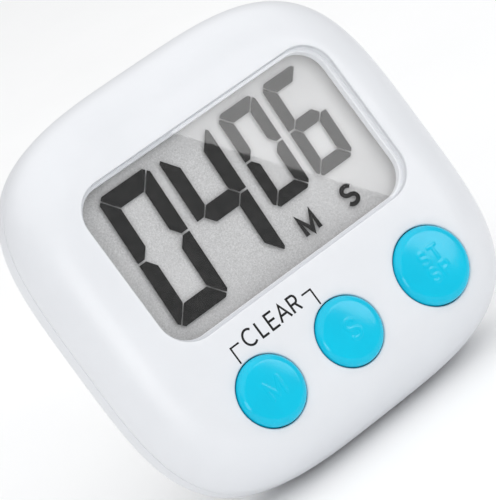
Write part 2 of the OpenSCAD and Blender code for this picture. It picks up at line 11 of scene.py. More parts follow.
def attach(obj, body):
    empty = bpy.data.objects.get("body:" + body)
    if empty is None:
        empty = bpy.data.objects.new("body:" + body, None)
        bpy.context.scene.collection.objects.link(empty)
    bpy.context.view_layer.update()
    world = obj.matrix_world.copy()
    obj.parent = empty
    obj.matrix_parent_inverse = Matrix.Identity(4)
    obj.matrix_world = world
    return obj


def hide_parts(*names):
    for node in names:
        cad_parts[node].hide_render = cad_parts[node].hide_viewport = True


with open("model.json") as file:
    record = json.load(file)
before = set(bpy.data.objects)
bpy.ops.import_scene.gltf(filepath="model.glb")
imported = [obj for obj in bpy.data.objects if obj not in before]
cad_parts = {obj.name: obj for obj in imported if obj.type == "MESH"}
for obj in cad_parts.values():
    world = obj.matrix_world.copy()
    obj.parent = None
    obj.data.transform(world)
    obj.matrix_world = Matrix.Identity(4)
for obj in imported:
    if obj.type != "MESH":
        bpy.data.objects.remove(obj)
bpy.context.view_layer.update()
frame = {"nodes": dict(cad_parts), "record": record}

# Every piece is drawn in the case's own frame, in millimetres: x across, v from the front
# face to the back, w up from the case's centre. The record's mount gives its place.
MM = 0.001
CASE_T = 17.0
MOUNT_W = -10.0
mount = frame["record"]["mounts"][0]
REAR = Vector(mount["axis"]).normalized()
UP = Vector((0, -REAR.z, REAR.y))
ORIGIN = Vector(mount["pos_m"]) - REAR * CASE_T * MM - UP * MOUNT_W * MM
AXES = np.array([[1, 0, 0], list(REAR), list(UP)], float)
NODES = frame["nodes"]

HALF_W = 32.5
HALF_H = 30.8
SQUARENESS = 3.67
DIAGONAL = math.hypot(HALF_W, HALF_H) * 2 ** (-1 / SQUARENESS)
FRONT_ROLL = 8.6
REAR_ROLL = 6.0
WALL = 1.8
SPLIT = 9.0
SEAM = 0.12
CROWN = 0.22
RING = 256


def to_world(points):
    return np.asarray(points, float) @ AXES * MM + np.array(ORIGIN)


def span(node):
    """Lowest and highest corner of a CAD node in the case's frame."""
    mesh = NODES[node].data
    co = np.array([v.co for v in mesh.vertices], float)
    local = (co - np.array(ORIGIN)) @ AXES.T / MM
    return local.min(0), local.max(0)


def middle(node):
    low, high = span(node)
    return (low + high) / 2


# ---------------------------------------------------------------- outlines

def exponent(inset):
    share = (DIAGONAL - inset) / math.hypot(HALF_W - inset, HALF_H - inset)
    return math.log(2) / -math.log(share)


def outline(inset, count=RING):
    """The case's outline, inset by a distance, as x and w."""
    n = exponent(inset)
    turn = np.linspace(0, 2 * math.pi, count, endpoint=False)
    c, s = np.cos(turn), np.sin(turn)
    reach = (np.abs(c / (HALF_W - inset)) ** n + np.abs(s / (HALF_H - inset)) ** n) ** (-1 / n)
    return np.stack([reach * c, reach * s], 1)


DEEPEST = 12.0


def inset_of(flat):
    """How far inside the case's outline each point lies, up to DEEPEST."""
    x, w = np.abs(flat[:, 0]), np.abs(flat[:, 1])
    low, high = np.zeros(len(flat)), np.full(len(flat), DEEPEST)
    for _ in range(34):
        mid = (low + high) / 2
        share = (DIAGONAL - mid) / np.hypot(HALF_W - mid, HALF_H - mid)
        n = math.log(2) / -np.log(share)
        inside = (x / (HALF_W - mid)) ** n + (w / (HALF_H - mid)) ** n < 1
        low, high = np.where(inside, mid, low), np.where(inside, high, mid)
    return low


def crowned(flat, v):
    q = (flat[:, 0] / HALF_W) ** 2 + (flat[:, 1] / HALF_H) ** 2
    return v + CROWN * q * np.clip(1 - v / FRONT_ROLL, 0, 1)


def front_depth(flat, skin=0.0):
    """Depth of the front surface, or of the one a skin's thickness inside it."""
    inset = np.minimum(inset_of(flat), FRONT_ROLL)
    radius = FRONT_ROLL - skin
    fall = np.clip(radius ** 2 - (FRONT_ROLL - inset) ** 2, 0, None)
    return crowned(flat, FRONT_ROLL - np.sqrt(fall))


def rounded(cx, cw, width, height, r, corner=12, side=14):
    """A rectangle with round corners, counter-clockwise; r is one radius or four."""
    radii = [r] * 4 if np.isscalar(r) else list(r)
    signs = [(1, 1), (-1, 1), (-1, -1), (1, -1)]
    points = []
    for k, (sx, sw) in enumerate(signs):
        rr = max(radii[k], 1e-3)
        mx, mw = cx + sx * (width / 2 - rr), cw + sw * (height / 2 - rr)
        start = k * math.pi / 2
        for i in range(corner + 1):
            a = start + math.pi / 2 * i / corner
            points.append((mx + rr * math.cos(a), mw + rr * math.sin(a)))
        nx, nw = signs[(k + 1) % 4]
        rn = max(radii[(k + 1) % 4], 1e-3)
        a = start + math.pi / 2
        end = (cx + nx * (width / 2 - rn) + rn * math.cos(a),
               cw + nw * (height / 2 - rn) + rn * math.sin(a))
        here = points[-1]
        for i in range(1, side):
            t = i / side
            points.append((here[0] + (end[0] - here[0]) * t, here[1] + (end[1] - here[1]) * t))
    return np.array(points)


def circle(cx, cw, r, count=96):
    a = np.linspace(0, 2 * math.pi, count, endpoint=False)
    return np.stack([cx + r * np.cos(a), cw + r * np.sin(a)], 1)


def lift(flat, v):
    """Plan points as x, v, w at one depth or at one depth each."""
    v = np.full(len(flat), v) if np.isscalar(v) else np.asarray(v)
    return np.stack([flat[:, 0], v, flat[:, 1]], 1)


def inside(points, loop):
    """Even-odd test of points against a closed loop."""
    x, y = points[:, 0][:, None], points[:, 1][:, None]
    ax, ay = loop[:, 0][None], loop[:, 1][None]
    bx, by = np.roll(loop[:, 0], -1)[None], np.roll(loop[:, 1], -1)[None]
    crosses = (ay > y) != (by > y)
    at = (bx - ax) * (y - ay) / np.where(by == ay, 1e-12, by - ay) + ax
    return (crosses & (x < at)).sum(1) % 2 == 1


def gap_to(points, loops):
    edge = np.concatenate(loops)
    best = np.full(len(points), 1e9)
    for k in range(0, len(edge), 128):
        part = edge[k:k + 128]
        best = np.minimum(best, np.linalg.norm(points[:, None] - part[None], axis=2).min(1))
    return best


# ---------------------------------------------------------------- meshes

class Shape:
    """Points and faces of one mesh, in the case's frame."""

    def __init__(self):
        self.points = []
        self.faces = []

    def loop(self, points):
        start = len(self.points)
        self.points.extend(tuple(float(c) for c in p) for p in points)
        return list(range(start, len(self.points)))

    def bridge(self, a, b):
        n = len(a)
        for i in range(n):
            j = (i + 1) % n
            self.faces.append((a[i], a[j], b[j], b[i]))

    def chain(self, *loops):
        made = [x if isinstance(x, list) else self.loop(x) for x in loops]
        for a, b in zip(made, made[1:]):
            self.bridge(a, b)
        return made

    def cap(self, loop):
        self.faces.append(tuple(loop))

    def plan(self, loop):
        return np.array([(self.points[i][0], self.points[i][2]) for i in loop])

    def fill(self, boundary, holes, height, seeds, margin):
        """Fills between a boundary loop and hole loops with triangles through the seeds."""
        loops = [boundary] + holes
        plans = [self.plan(x) for x in loops]
        keep = inside(seeds, plans[0])
        for p in plans[1:]:
            keep &= ~inside(seeds, p)
        seeds = seeds[keep]
        seeds = seeds[gap_to(seeds, plans) > margin]
        seeded = self.loop(lift(seeds, height(seeds))) if len(seeds) else []
        index = [i for x in loops for i in x] + seeded
        flat = np.concatenate(plans + [seeds])
        edges, start = [], 0
        for x in loops:
            n = len(x)
            edges += [(start + i, start + (i + 1) % n) for i in range(n)]
            start += n
        done = delaunay_2d_cdt([Vector(p) for p in flat], edges, [], 0, 1e-7)
        where = np.array([list(p) for p in done[0]])
        source = [o[0] for o in done[3]]
        tris = np.array(done[2])
        centre = where[tris].mean(1)
        keep = inside(centre, plans[0])
        for p in plans[1:]:
            keep &= ~inside(centre, p)
        for t in tris[keep]:
            self.faces.append(tuple(index[source[k]] for k in t))

    def mesh(self, name, weld=1e-5):
        world = to_world(self.points)
        mesh = bpy.data.meshes.new(name)
        mesh.from_pydata([tuple(p) for p in world], [], self.faces)
        bm = bmesh.new()
        bm.from_mesh(mesh)
        bmesh.ops.remove_doubles(bm, verts=bm.verts, dist=weld * MM)
        bmesh.ops.recalc_face_normals(bm, faces=bm.faces)
        bm.to_mesh(mesh)
        bm.free()
        return mesh


def place(name, mesh, sharp=35):
    obj = bpy.data.objects.new(name, mesh)
    bpy.context.scene.collection.objects.link(obj)
    mesh.shade_smooth()
    mesh.set_sharp_from_angle(angle=math.radians(sharp))
    return obj


def finish_piece(obj, body, slot, mat, *nodes, smooth_flats=False):
    if smooth_flats:
        even = obj.modifiers.new("even", "WEIGHTED_NORMAL")
        even.keep_sharp = True
    obj.data.materials.clear()
    obj.data.materials.append(mat)
    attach(obj, body)
    if nodes:
        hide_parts(*nodes)
    return obj


def prism(plan, v0, v1):
    """Closed solid with one plan between two depths."""
    s = Shape()
    loops = s.chain(lift(plan, v0), lift(plan, v1))
    s.cap(loops[0])
    s.cap(loops[-1])
    return s


def solid(shape, name="tool"):
    obj = bpy.data.objects.new(name, shape.mesh(name))
    bpy.context.scene.collection.objects.link(obj)
    return obj


def box_plan(x0, x1, w0, w1):
    return np.array([(x0, w0), (x1, w0), (x1, w1), (x0, w1)], float)


def combine(target, tool, operation):
    """Applies one boolean and removes the tool."""
    m = target.modifiers.new("cut", "BOOLEAN")
    m.operation = operation
    m.solver = "MANIFOLD"
    m.object = tool
    graph = bpy.context.evaluated_depsgraph_get()
    made = bpy.data.meshes.new_from_object(target.evaluated_get(graph))
    target.modifiers.clear()
    old = target.data
    target.data = made
    bpy.data.meshes.remove(old)
    if tool.users_collection:
        mesh = tool.data
        bpy.data.objects.remove(tool)
        bpy.data.meshes.remove(mesh)


def cut(target, *shapes):
    for s in shapes:
        combine(target, solid(s), "DIFFERENCE")


def join(target, *shapes):
    for s in shapes:
        combine(target, solid(s), "UNION")


def settle(worked, name):
    """Swaps a finished boolean body for a shaded piece of the given name."""
    mesh = worked.data
    bpy.data.objects.remove(worked)
    return place(name, mesh, 32)


# ---------------------------------------------------------------- materials

class Nodes:
    """A small builder for one node material; textures read object coordinates in metres."""

    def __init__(self, name):
        self.mat = bpy.data.materials.new(name)
        self.mat.use_nodes = True
        self.tree = self.mat.node_tree
        self.tree.nodes.clear()
        self.out = self.tree.nodes.new("ShaderNodeOutputMaterial")
        self.coord = self.new("ShaderNodeTexCoord").outputs["Object"]

    def new(self, kind, **settings):
        made = self.tree.nodes.new(kind)
        for k, v in settings.items():
            setattr(made, k, v)
        return made

    def put(self, socket, value):
        if isinstance(value, bpy.types.NodeSocket):
            self.tree.links.new(value, socket)
        elif isinstance(value, (tuple, list)) and len(value) == 3 and socket.type == "RGBA":
            socket.default_value = (*value, 1)
        else:
            socket.default_value = value

    def noise(self, size, detail=3.0, rough=0.55, seed=0.0):
        """Noise whose features are about size millimetres across."""
        n = self.new("ShaderNodeTexNoise", noise_dimensions="4D")
        self.put(n.inputs["W"], seed)
        self.put(n.inputs["Scale"], 1 / (size * MM))
        self.put(n.inputs["Detail"], detail)
        self.put(n.inputs["Roughness"], rough)
        self.put(n.inputs["Vector"], self.coord)
        return n.outputs["Fac"]

    def cells(self, size):
        n = self.new("ShaderNodeTexVoronoi", feature="F1", voronoi_dimensions="4D")
        self.put(n.inputs["W"], 0.0)
        self.put(n.inputs["Scale"], 1 / (size * MM))
        self.put(n.inputs["Vector"], self.coord)
        return n.outputs["Distance"]

    def remap(self, value, low, high, to_low, to_high):
        n = self.new("ShaderNodeMapRange")
        for socket, v in zip(("Value", "From Min", "From Max", "To Min", "To Max"),
                             (value, low, high, to_low, to_high)):
            self.put(n.inputs[socket], v)
        return n.outputs["Result"]

    def math(self, operation, a, b=0.0):
        n = self.new("ShaderNodeMath", operation=operation)
        self.put(n.inputs[0], a)
        self.put(n.inputs[1], b)
        return n.outputs[0]

    def mix(self, factor, a, b):
        n = self.new("ShaderNodeMix", data_type="RGBA")
        self.put(n.inputs[0], factor)
        self.put(n.inputs[6], a)
        self.put(n.inputs[7], b)
        return n.outputs[2]

    def edges(self, low=0.52, high=0.62):
        g = self.new("ShaderNodeNewGeometry")
        return self.remap(g.outputs["Pointiness"], low, high, 0.0, 1.0)

    def bump(self, height, microns, normal=None):
        n = self.new("ShaderNodeBump")
        self.put(n.inputs["Strength"], 1.0)
        self.put(n.inputs["Distance"], microns * 1e-6)
        self.put(n.inputs["Height"], height)
        if normal is not None:
            self.put(n.inputs["Normal"], normal)
        return n.outputs["Normal"]

    def soften(self, radius):
        n = self.new("ShaderNodeBevel", samples=6)
        self.put(n.inputs["Radius"], radius * MM)
        return n.outputs["Normal"]

    def shader(self, **sockets):
        n = self.new("ShaderNodeBsdfPrincipled")
        for k, v in sockets.items():
            self.put(n.inputs[k.replace("_", " ")], v)
        return n.outputs["BSDF"]

    def done(self, shader):
        self.put(self.out.inputs["Surface"], shader)
        return self.mat


def moulded(name, dark, light, worn, rough, grain=0.5, microns=4.0, patch=9.0,
            soft=0.0, wear=1.0, edge=(0.52, 0.62), seed=0.0, **sockets):
    """Moulded plastic: faint colour drift, grained gloss, mould texture, rubbed edges."""
    n = Nodes(name)
    drift = n.noise(patch, 4.0, seed=seed)
    colour = n.mix(n.remap(drift, 0.3, 0.7, 0.0, 1.0), dark, light)
    rub = n.math("MULTIPLY", n.edges(*edge),
                 n.remap(n.noise(1.1, 3.0, seed=seed + 3), 0.42, 0.62, 0, wear))
    colour = n.mix(rub, colour, worn)
    gloss = n.remap(n.noise(2.6, 5.0, 0.6, seed=seed + 5), 0.25, 0.75, rough[0], rough[1])
    gloss = n.math("ADD", gloss, n.math("MULTIPLY", rub, 0.12))
    under = n.soften(soft) if soft else None
    normal = n.bump(n.noise(grain, 2.0, seed=seed + 8), microns, under)
    normal = n.bump(n.noise(patch * 0.6, 2.0, seed=seed + 9), microns * 4, normal)
    return n.done(n.shader(Base_Color=colour, Roughness=gloss, Normal=normal, **sockets))


def metal(name, dark, light, rough, seed=0.0, soft=0.0):
    """Bare metal: fine grain in the gloss, tarnish in the colour, brighter edges."""
    n = Nodes(name)
    grain = n.noise(0.4, 5.0, 0.6, seed=seed)
    tarnish = n.noise(3.0, 4.0, seed=seed + 2)
    colour = n.mix(n.remap(tarnish, 0.35, 0.7, 0.0, 1.0), light, dark)
    colour = n.mix(n.math("MULTIPLY", n.edges(), 0.6), colour, tuple(min(1, c * 1.2) for c in light))
    gloss = n.remap(grain, 0.25, 0.75, rough[0], rough[1])
    under = n.soften(soft) if soft else None
    normal = n.bump(grain, 2.0, under)
    return n.done(n.shader(Base_Color=colour, Roughness=gloss, Normal=normal, Metallic=1.0))


def clear(name, tint, rough, sheen, microns=0.5, size=6.0, strength=1.0, seed=0.0):
    """Clear sheet: light passes straight on, and the surface mirrors by its angle."""
    n = Nodes(name)
    smear = n.noise(size, 4.0, seed=seed)
    gloss = n.new("ShaderNodeBsdfAnisotropic")
    n.put(gloss.inputs["Roughness"], n.remap(smear, 0.3, 0.7, rough[0], rough[1]))
    n.put(gloss.inputs["Color"], n.mix(n.remap(smear, 0.3, 0.7, 0, 1), (sheen,) * 3,
                                       (sheen * 0.93,) * 3))
    n.put(gloss.inputs["Normal"], n.bump(n.noise(size * 2, 2.0, seed=seed + 4), microns))
    passing = n.new("ShaderNodeBsdfTransparent")
    n.put(passing.inputs["Color"], n.mix(n.remap(n.noise(size, 2.0, seed=seed + 6), 0.3, 0.7, 0, 1),
                                         tint, tuple(c * 0.985 for c in tint)))
    fresnel = n.new("ShaderNodeFresnel")
    n.put(fresnel.inputs["IOR"], 1.49)
    facing = n.math("MULTIPLY", fresnel.outputs[0], strength)
    geo = n.new("ShaderNodeNewGeometry")
    outside = n.math("MULTIPLY", facing, n.math("SUBTRACT", 1.0, geo.outputs["Backfacing"]))
    mix = n.new("ShaderNodeMixShader")
    n.put(mix.inputs[0], outside)
    n.put(mix.inputs[1], passing.outputs[0])
    n.put(mix.inputs[2], gloss.outputs[0])
    return n.done(mix.outputs[0])


def reflector_mat():
    """Speckled grey sheet behind the display."""
    n = Nodes("reflector")
    grain = n.noise(0.24, 4.0, 0.75)
    fleck = n.cells(0.34)
    tone = n.mix(n.remap(grain, 0.3, 0.7, 0, 1), (0.37, 0.37, 0.373), (0.75, 0.75, 0.753))
    tone = n.mix(n.remap(fleck, 0.0, 0.22, 0.45, 0.0), tone, (0.30, 0.30, 0.30))
    tone = n.mix(n.remap(n.noise(16, 2.0, seed=2), 0.35, 0.65, 0, 0.3), tone, (0.70, 0.70, 0.703))
    rough = n.remap(grain, 0.3, 0.7, 0.45, 0.7)
    return n.done(n.shader(Base_Color=tone, Roughness=rough, Normal=n.bump(grain, 2.0)))


def board_mat():
    n = Nodes("board")
    green = n.mix(n.remap(n.noise(4.0, 4.0), 0.3, 0.7, 0, 1), (0.01, 0.10, 0.035), (0.02, 0.16, 0.05))
    brick = n.new("ShaderNodeTexBrick")
    n.put(brick.inputs["Vector"], n.coord)
    n.put(brick.inputs["Scale"], 160.0)
    n.put(brick.inputs["Mortar Size"], 0.03)
    track = brick.outputs["Fac"]
    colour = n.mix(n.math("MULTIPLY", track, 0.8), green, (0.03, 0.28, 0.08))
    rough = n.remap(n.noise(0.6, 3.0, seed=4), 0.3, 0.7, 0.3, 0.5)
    return n.done(n.shader(Base_Color=colour, Roughness=rough, Normal=n.bump(track, 18.0),
                           Coat_Weight=0.3))


def cell_mat():
    """Wrapper of the cell: two plain bands with a metal end."""
    n = Nodes("cell")
    split = n.new("ShaderNodeSeparateXYZ")
    n.put(split.inputs[0], n.coord)
    band = n.remap(split.outputs["X"], 0.0078, 0.0081, 0.0, 1.0)
    wear = n.remap(n.noise(1.4, 5.0), 0.35, 0.7, 0.0, 1.0)
    body = n.mix(wear, (0.025, 0.027, 0.03), (0.05, 0.052, 0.058))
    top = n.mix(wear, (0.62, 0.35, 0.12), (0.72, 0.44, 0.18))
    colour = n.mix(band, body, top)
    rough = n.remap(n.noise(0.8, 4.0, seed=3), 0.3, 0.7, 0.22, 0.4)
    return n.done(n.shader(Base_Color=colour, Roughness=rough, Metallic=0.4,
                           Normal=n.bump(n.noise(0.5, 3.0, seed=6), 3.0)))


def magnet_mat():
    n = Nodes("magnet")
    grain = n.noise(0.25, 5.0, 0.7)
    tone = n.mix(n.remap(n.noise(3.0, 4.0, seed=1), 0.3, 0.7, 0, 1), (0.035, 0.035, 0.038),
                 (0.075, 0.075, 0.08))
    tone = n.mix(n.math("MULTIPLY", n.edges(0.51, 0.6), 0.5), tone, (0.2, 0.2, 0.21))
    rough = n.remap(grain, 0.3, 0.7, 0.42, 0.65)
    return n.done(n.shader(Base_Color=tone, Roughness=rough, Metallic=0.35,
                           Normal=n.bump(grain, 9.0, n.soften(0.2))))


def floor_mat():
    n = Nodes("floor")
    drift = n.noise(60.0, 3.0)
    tone = n.mix(n.remap(drift, 0.3, 0.7, 0, 1), (0.93, 0.935, 0.94), (0.95, 0.955, 0.96))
    rough = n.remap(n.noise(14.0, 3.0, seed=1), 0.3, 0.7, 0.75, 0.85)
    return n.done(n.shader(Base_Color=tone, Roughness=rough, Normal=n.bump(n.noise(1.5), 4.0)))


WHITE = dict(dark=(0.71, 0.725, 0.755), light=(0.735, 0.75, 0.78), worn=(0.78, 0.79, 0.81))
shell_mat = moulded("shell", rough=(0.29, 0.37), grain=0.45, microns=0.6, wear=0.25,
                    edge=(0.60, 0.74), **WHITE)
rear_mat = moulded("shell_rear", rough=(0.30, 0.39), grain=0.45, microns=1.0, soft=0.22,
                   wear=0.35, edge=(0.57, 0.70), seed=11, **WHITE)
frame_mat = moulded("frame_plastic", (0.72, 0.73, 0.74), (0.79, 0.80, 0.81), (0.85, 0.85, 0.86),
                    (0.4, 0.55), seed=21)
button_mat = moulded("button", (0.0, 0.48, 0.69), (0.0, 0.53, 0.75), (0.01, 0.60, 0.80),
                     (0.11, 0.16), grain=0.5, microns=0.5, patch=6.0, wear=0.4,
                     edge=(0.60, 0.74), seed=31, Specular_IOR_Level=0.3)
ink_mat = moulded("ink", (0.006, 0.006, 0.006), (0.011, 0.011, 0.012), (0.02, 0.02, 0.02),
                  (0.4, 0.55), grain=0.2, microns=1.5, patch=3.0, seed=41,
                  Specular_IOR_Level=0.15)
lcd_ink_mat = moulded("lcd_ink", (0.006, 0.006, 0.006), (0.012, 0.012, 0.012), (0.02, 0.02, 0.02),
                      (0.5, 0.65), grain=0.25, microns=1.0, patch=3.0, seed=51,
                      Specular_IOR_Level=0.1)
pad_mat = moulded("key_pad", (0.10, 0.10, 0.11), (0.15, 0.15, 0.16), (0.2, 0.2, 0.2), (0.6, 0.8),
                  grain=0.3, microns=6.0, seed=61)
epoxy_mat = moulded("epoxy", (0.012, 0.012, 0.013), (0.02, 0.02, 0.022), (0.04, 0.04, 0.04),
                    (0.15, 0.3), grain=0.8, microns=8.0, seed=71)
zebra_mat = moulded("zebra", (0.50, 0.20, 0.24), (0.60, 0.28, 0.31), (0.7, 0.4, 0.42), (0.5, 0.7),
                    grain=0.3, microns=6.0, seed=81)
capacitor_mat = moulded("capacitor", (0.015, 0.02, 0.06), (0.03, 0.035, 0.09), (0.3, 0.3, 0.32),
                        (0.25, 0.4), grain=0.4, microns=3.0, seed=91)
ceramic_mat = moulded("ceramic", (0.70, 0.66, 0.55), (0.78, 0.74, 0.62), (0.82, 0.8, 0.7),
                      (0.4, 0.6), grain=0.2, microns=5.0, seed=101)
steel_mat = metal("steel", (0.46, 0.46, 0.47), (0.66, 0.66, 0.67), (0.2, 0.38), soft=0.12)
brass_mat = metal("brass", (0.55, 0.38, 0.14), (0.72, 0.54, 0.22), (0.22, 0.4), seed=5)
lens_mat = clear("lens", (0.99, 0.992, 0.994), (0.012, 0.025), 1.0, microns=0.1, size=9.0,
                 strength=1.0)
glass_mat = clear("lcd_glass", (0.985, 0.985, 0.985), (0.22, 0.3), 0.5, strength=0.15, seed=3)


# ---------------------------------------------------------------- sizes from the CAD

lens_low, lens_high = span("window_lens")
LENS_GAP = 0.12
WINDOW_W = lens_high[0] - lens_low[0] + 2 * LENS_GAP
WINDOW_H = lens_high[2] - lens_low[2] + 2 * LENS_GAP
WINDOW_C = middle("window_lens")[2]
WINDOW_R = 5.0
LENS_V0, LENS_V1 = lens_low[1], lens_high[1]
LEDGE = 0.55
LCD_V = span("lcd_front_glass")[0][1]
frame_low, frame_high = span("lcd_frame")
FRAME_R = 3.0
FLANGE = 0.6
GAP = 0.14
LIP = 0.14
WINDOW_RIM = 0.18
BUTTON_RIM = 0.26
BUTTONS = {}
for name in ("button_m", "button_s", "button_start"):
    low, high = span(name)
    BUTTONS[name] = ((low[0] + high[0]) / 2, (low[2] + high[2]) / 2, (high[0] - low[0]) / 2 - FLANGE)


# ---------------------------------------------------------------- front shell

def grid(spacing, reach_x, reach_w):
    """Staggered grid of points over the case's face."""
    rows = []
    for k, w in enumerate(np.arange(-reach_w, reach_w + spacing, spacing)):
        shift = spacing / 2 * (k % 2)
        xs = np.arange(-reach_x + shift, reach_x + spacing, spacing)
        rows.append(np.stack([xs, np.full(len(xs), w)], 1))
    return np.concatenate(rows)


def front_shell():
    s = Shape()
    face_inset, inner_inset = 5.0, 3.5
    seeds = [outline(d, 220) for d in (5.7, 6.4, 7.1, 7.9, 8.6, 9.5, 10.7)]
    middle_seeds = grid(1.5, HALF_W - 11.8, HALF_H - 11.8)
    middle_seeds = middle_seeds[inset_of(middle_seeds) > 11.4]
    seeds = np.concatenate(seeds + [middle_seeds])

    start = math.asin(1 - face_inset / FRONT_ROLL)
    rows = []
    for i in range(15):
        a = start + (math.pi / 2 - start) * i / 14
        flat = outline(FRONT_ROLL * (1 - math.sin(a)))
        rows.append(lift(flat, crowned(flat, np.full(RING, FRONT_ROLL * (1 - math.cos(a))))))
    lip = LIP
    rows += [lift(outline(0), SPLIT - lip), lift(outline(0.3 * lip), SPLIT - 0.3 * lip),
             lift(outline(lip), SPLIT), lift(outline(WALL), SPLIT)]
    inner = FRONT_ROLL - WALL
    stop = math.asin((FRONT_ROLL - inner_inset) / inner)
    for i in range(9):
        a = math.pi / 2 + (stop - math.pi / 2) * i / 8
        flat = outline(FRONT_ROLL - inner * math.sin(a))
        rows.append(lift(flat, crowned(flat, np.full(RING, FRONT_ROLL - inner * math.cos(a)))))
    made = s.chain(*rows)

    outer_holes, inner_holes = [], []
    rim = WINDOW_RIM

    def window(d):
        return rounded(0, WINDOW_C, WINDOW_W + 2 * d, WINDOW_H + 2 * d, WINDOW_R + d)

    base = window(rim)
    top = front_depth(base)
    loops = [lift(base, top)]
    for i in range(1, 6):
        a = math.pi / 2 * i / 5
        loops.append(lift(window(rim * (1 - math.sin(a))), top + rim * (1 - math.cos(a))))
    loops += [lift(window(0), LENS_V1), lift(window(-LEDGE + 0.12), LENS_V1),
              lift(window(-LEDGE), LENS_V1 + 0.12), lift(window(-LEDGE), LCD_V)]
    frame_c = (frame_low[2] + frame_high[2]) / 2
    well = rounded(0, frame_c, frame_high[0] - frame_low[0], frame_high[2] - frame_low[2], FRAME_R)
    loops += [lift(well, LCD_V), lift(well, front_depth(well, WALL))]
    chain = s.chain(*loops)
    outer_holes.append(chain[0])
    inner_holes.append(chain[-1])

    rim = BUTTON_RIM
    for cx, cw, r in BUTTONS.values():
        hole = r + GAP
        base = circle(cx, cw, hole + rim)
        top = front_depth(base)
        loops = [lift(base, top)]
        for i in range(1, 5):
            a = math.pi / 2 * i / 4
            loops.append(lift(circle(cx, cw, hole + rim * (1 - math.sin(a))),
                              top + rim * (1 - math.cos(a))))
        end = circle(cx, cw, hole)
        loops.append(lift(end, front_depth(end, WALL)))
        chain = s.chain(*loops)
        outer_holes.append(chain[0])
        inner_holes.append(chain[-1])
    s.fill(made[0], outer_holes, front_depth, seeds, 0.38)
    s.fill(made[-1], inner_holes, lambda p: front_depth(p, WALL), grid(3.0, HALF_W, HALF_H), 0.9)
    return s


shell = place("front_case", front_shell().mesh("front_case"), 40)
finish_piece(shell, "case", "shell", shell_mat, "front_shell")


# ---------------------------------------------------------------- rear shell

PAST = 1.0
SINK = 0.02
BAY_W, BAY_H = 48.8, 10.9
BAY_WALL = 0.9
BAY_C = 15.0
BAY_FLOOR = 5.4
DOOR_V = 16.1
DOOR_W, DOOR_H, DOOR_R = 50.6, 12.7, 1.6
DOOR_GAP = 0.12
POCKET_HALF = 12.9
POCKET_V = 13.8
POCKET_TOP = 7.9
POCKET_WALL = 1.3
POCKET_FLOOR = 1.4
HINGE_V, HINGE_W = 15.5, 5.7
SCREW_X = max(abs(span("case_screws")[0][0]), span("case_screws")[1][0]) - 1.8
SCREW_W = middle("case_screws")[2]
SCREW_SEAT = 15.7
SCREW_HEAD_R, SCREW_HOLE_R, SCREW_BOSS_R = 2.1, 1.05, 2.3
HINGE_HOLE_R = 0.82
MAGNET_RING = 0.5
MAGNET_FIT = 0.05
MAGNET_DEPTH = 2.3
SOUND_SLOTS = (4.5, 7, 8, 7, 4.5)
SOUND_PITCH, SOUND_SLOT_W = 2, 0.9
buzzer = middle("buzzer_disc")
MAGNET_W = middle("magnet")[2]
MAGNET_R = (span("magnet")[1][0] - span("magnet")[0][0]) / 2


def rear_outer():
    s = Shape()
    v0 = SPLIT + SEAM
    lip = LIP
    rows = [lift(outline(lip), v0), lift(outline(0.3 * lip), v0 + 0.3 * lip),
            lift(outline(0), v0 + lip)]
    for i in range(15):
        a = math.pi / 2 * i / 14
        rows.append(lift(outline(REAR_ROLL * (1 - math.cos(a))),
                         CASE_T - REAR_ROLL + REAR_ROLL * math.sin(a)))
    loops = s.chain(*rows)
    s.cap(loops[0])
    s.cap(loops[-1])
    return s


def rear_cavity():
    s = Shape()
    inner = REAR_ROLL - WALL
    rows = [lift(outline(WALL), SPLIT - 1)]
    for i in range(9):
        a = math.pi / 2 * i / 8
        rows.append(lift(outline(REAR_ROLL - inner * math.cos(a)),
                         CASE_T - REAR_ROLL + inner * math.sin(a)))
    loops = s.chain(*rows)
    s.cap(loops[0])
    s.cap(loops[-1])
    return s


def rod_along_x(v, w, r, x0, x1, fillet=0.0, count=40):
    s = Shape()
    rows = [(x0, r - fillet), (x0 + fillet * 0.3, r - fillet * 0.3), (x0 + fillet, r),
            (x1 - fillet, r), (x1 - fillet * 0.3, r - fillet * 0.3), (x1, r - fillet)]
    if not fillet:
        rows = [(x0, r), (x1, r)]
    a = np.linspace(0, 2 * math.pi, count, endpoint=False)
    loops = s.chain(*[np.stack([np.full(count, x), v + q * np.cos(a), w + q * np.sin(a)], 1)
                      for x, q in rows])
    s.cap(loops[0])
    s.cap(loops[-1])
    return s


def slot_plan(cx, cw, length, width):
    return rounded(cx, cw, length, width, width / 2 - 0.005, corner=8, side=2)


inner_v = CASE_T - WALL
rear = solid(rear_outer(), "rear_case")
cut(rear, rear_cavity())
bay_tub = rounded(0, BAY_C, BAY_W + 2 * BAY_WALL, BAY_H + 2 * BAY_WALL, BAY_WALL, 4, 1)
pocket_tub = box_plan(-POCKET_HALF - POCKET_WALL, POCKET_HALF + POCKET_WALL,
                      -HALF_H + WALL - 0.1, POCKET_TOP + POCKET_WALL)
join(rear,
     prism(bay_tub, BAY_FLOOR - 0.5, inner_v + SINK),
     prism(pocket_tub, POCKET_V - POCKET_FLOOR, inner_v + SINK),
     prism(circle(-SCREW_X, SCREW_W, SCREW_BOSS_R, 48), SPLIT + SEAM, inner_v + SINK),
     prism(circle(SCREW_X, SCREW_W, SCREW_BOSS_R, 48), SPLIT + SEAM, inner_v + SINK))
cut(rear, prism(box_plan(-POCKET_HALF, POCKET_HALF, -HALF_H - PAST, POCKET_TOP),
                POCKET_V, CASE_T + PAST))
join(rear, prism(circle(0, MAGNET_W, MAGNET_R + MAGNET_RING), POCKET_V - SINK, CASE_T - 0.8))
bay_plan = box_plan(-BAY_W / 2, BAY_W / 2, BAY_C - BAY_H / 2, BAY_C + BAY_H / 2)
